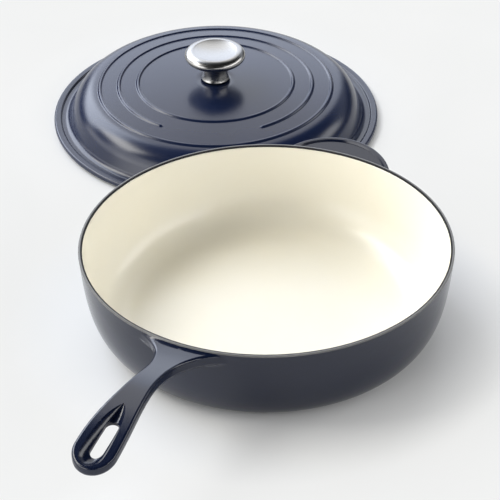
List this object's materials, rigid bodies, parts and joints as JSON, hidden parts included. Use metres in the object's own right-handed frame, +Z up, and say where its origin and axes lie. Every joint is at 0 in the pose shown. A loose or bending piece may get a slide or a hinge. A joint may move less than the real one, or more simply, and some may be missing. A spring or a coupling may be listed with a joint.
{
  "type": "braiser",
  "caption": "Round enamelled cast-iron braiser: a deep pan with a long handle and a helper handle, and its domed lid with a steel knob lying beside it.",
  "frame": {"origin": "centre of the pan's flat base, where it rests on the table", "axes": "+Z up; +X from the pan's axis along the long handle; the lid lies towards -X and -Y"},
  "size_m": [0.7238, 0.487, 0.0816],
  "materials": {
    "enamelled_iron": "satin navy enamel over cast iron, bare dark iron on the rim",
    "cream_enamel": "glossy cream enamel fused to the iron",
    "knob_steel": "satin-polished stainless steel",
    "plain_steel": "plain stainless steel",
    "gasket_rubber": "matt black silicone"
  },
  "bodies": {
    "pan": {"pan_casting": "enamelled_iron", "pan_enamel": "cream_enamel"},
    "lid": {"lid_casting": "enamelled_iron", "lid_enamel": "cream_enamel", "knob_head": "knob_steel", "knob_neck": "knob_steel", "knob_bush": "plain_steel", "knob_gasket": "gasket_rubber", "knob_screw": "plain_steel", "knob_washer": "plain_steel"}
  },
  "joints": [
    {"name": "lid_lift", "type": "slide", "parent": "pan", "child": "lid", "axis": [0, 0, 1], "range_m": [0, 0.25]}
  ]
}
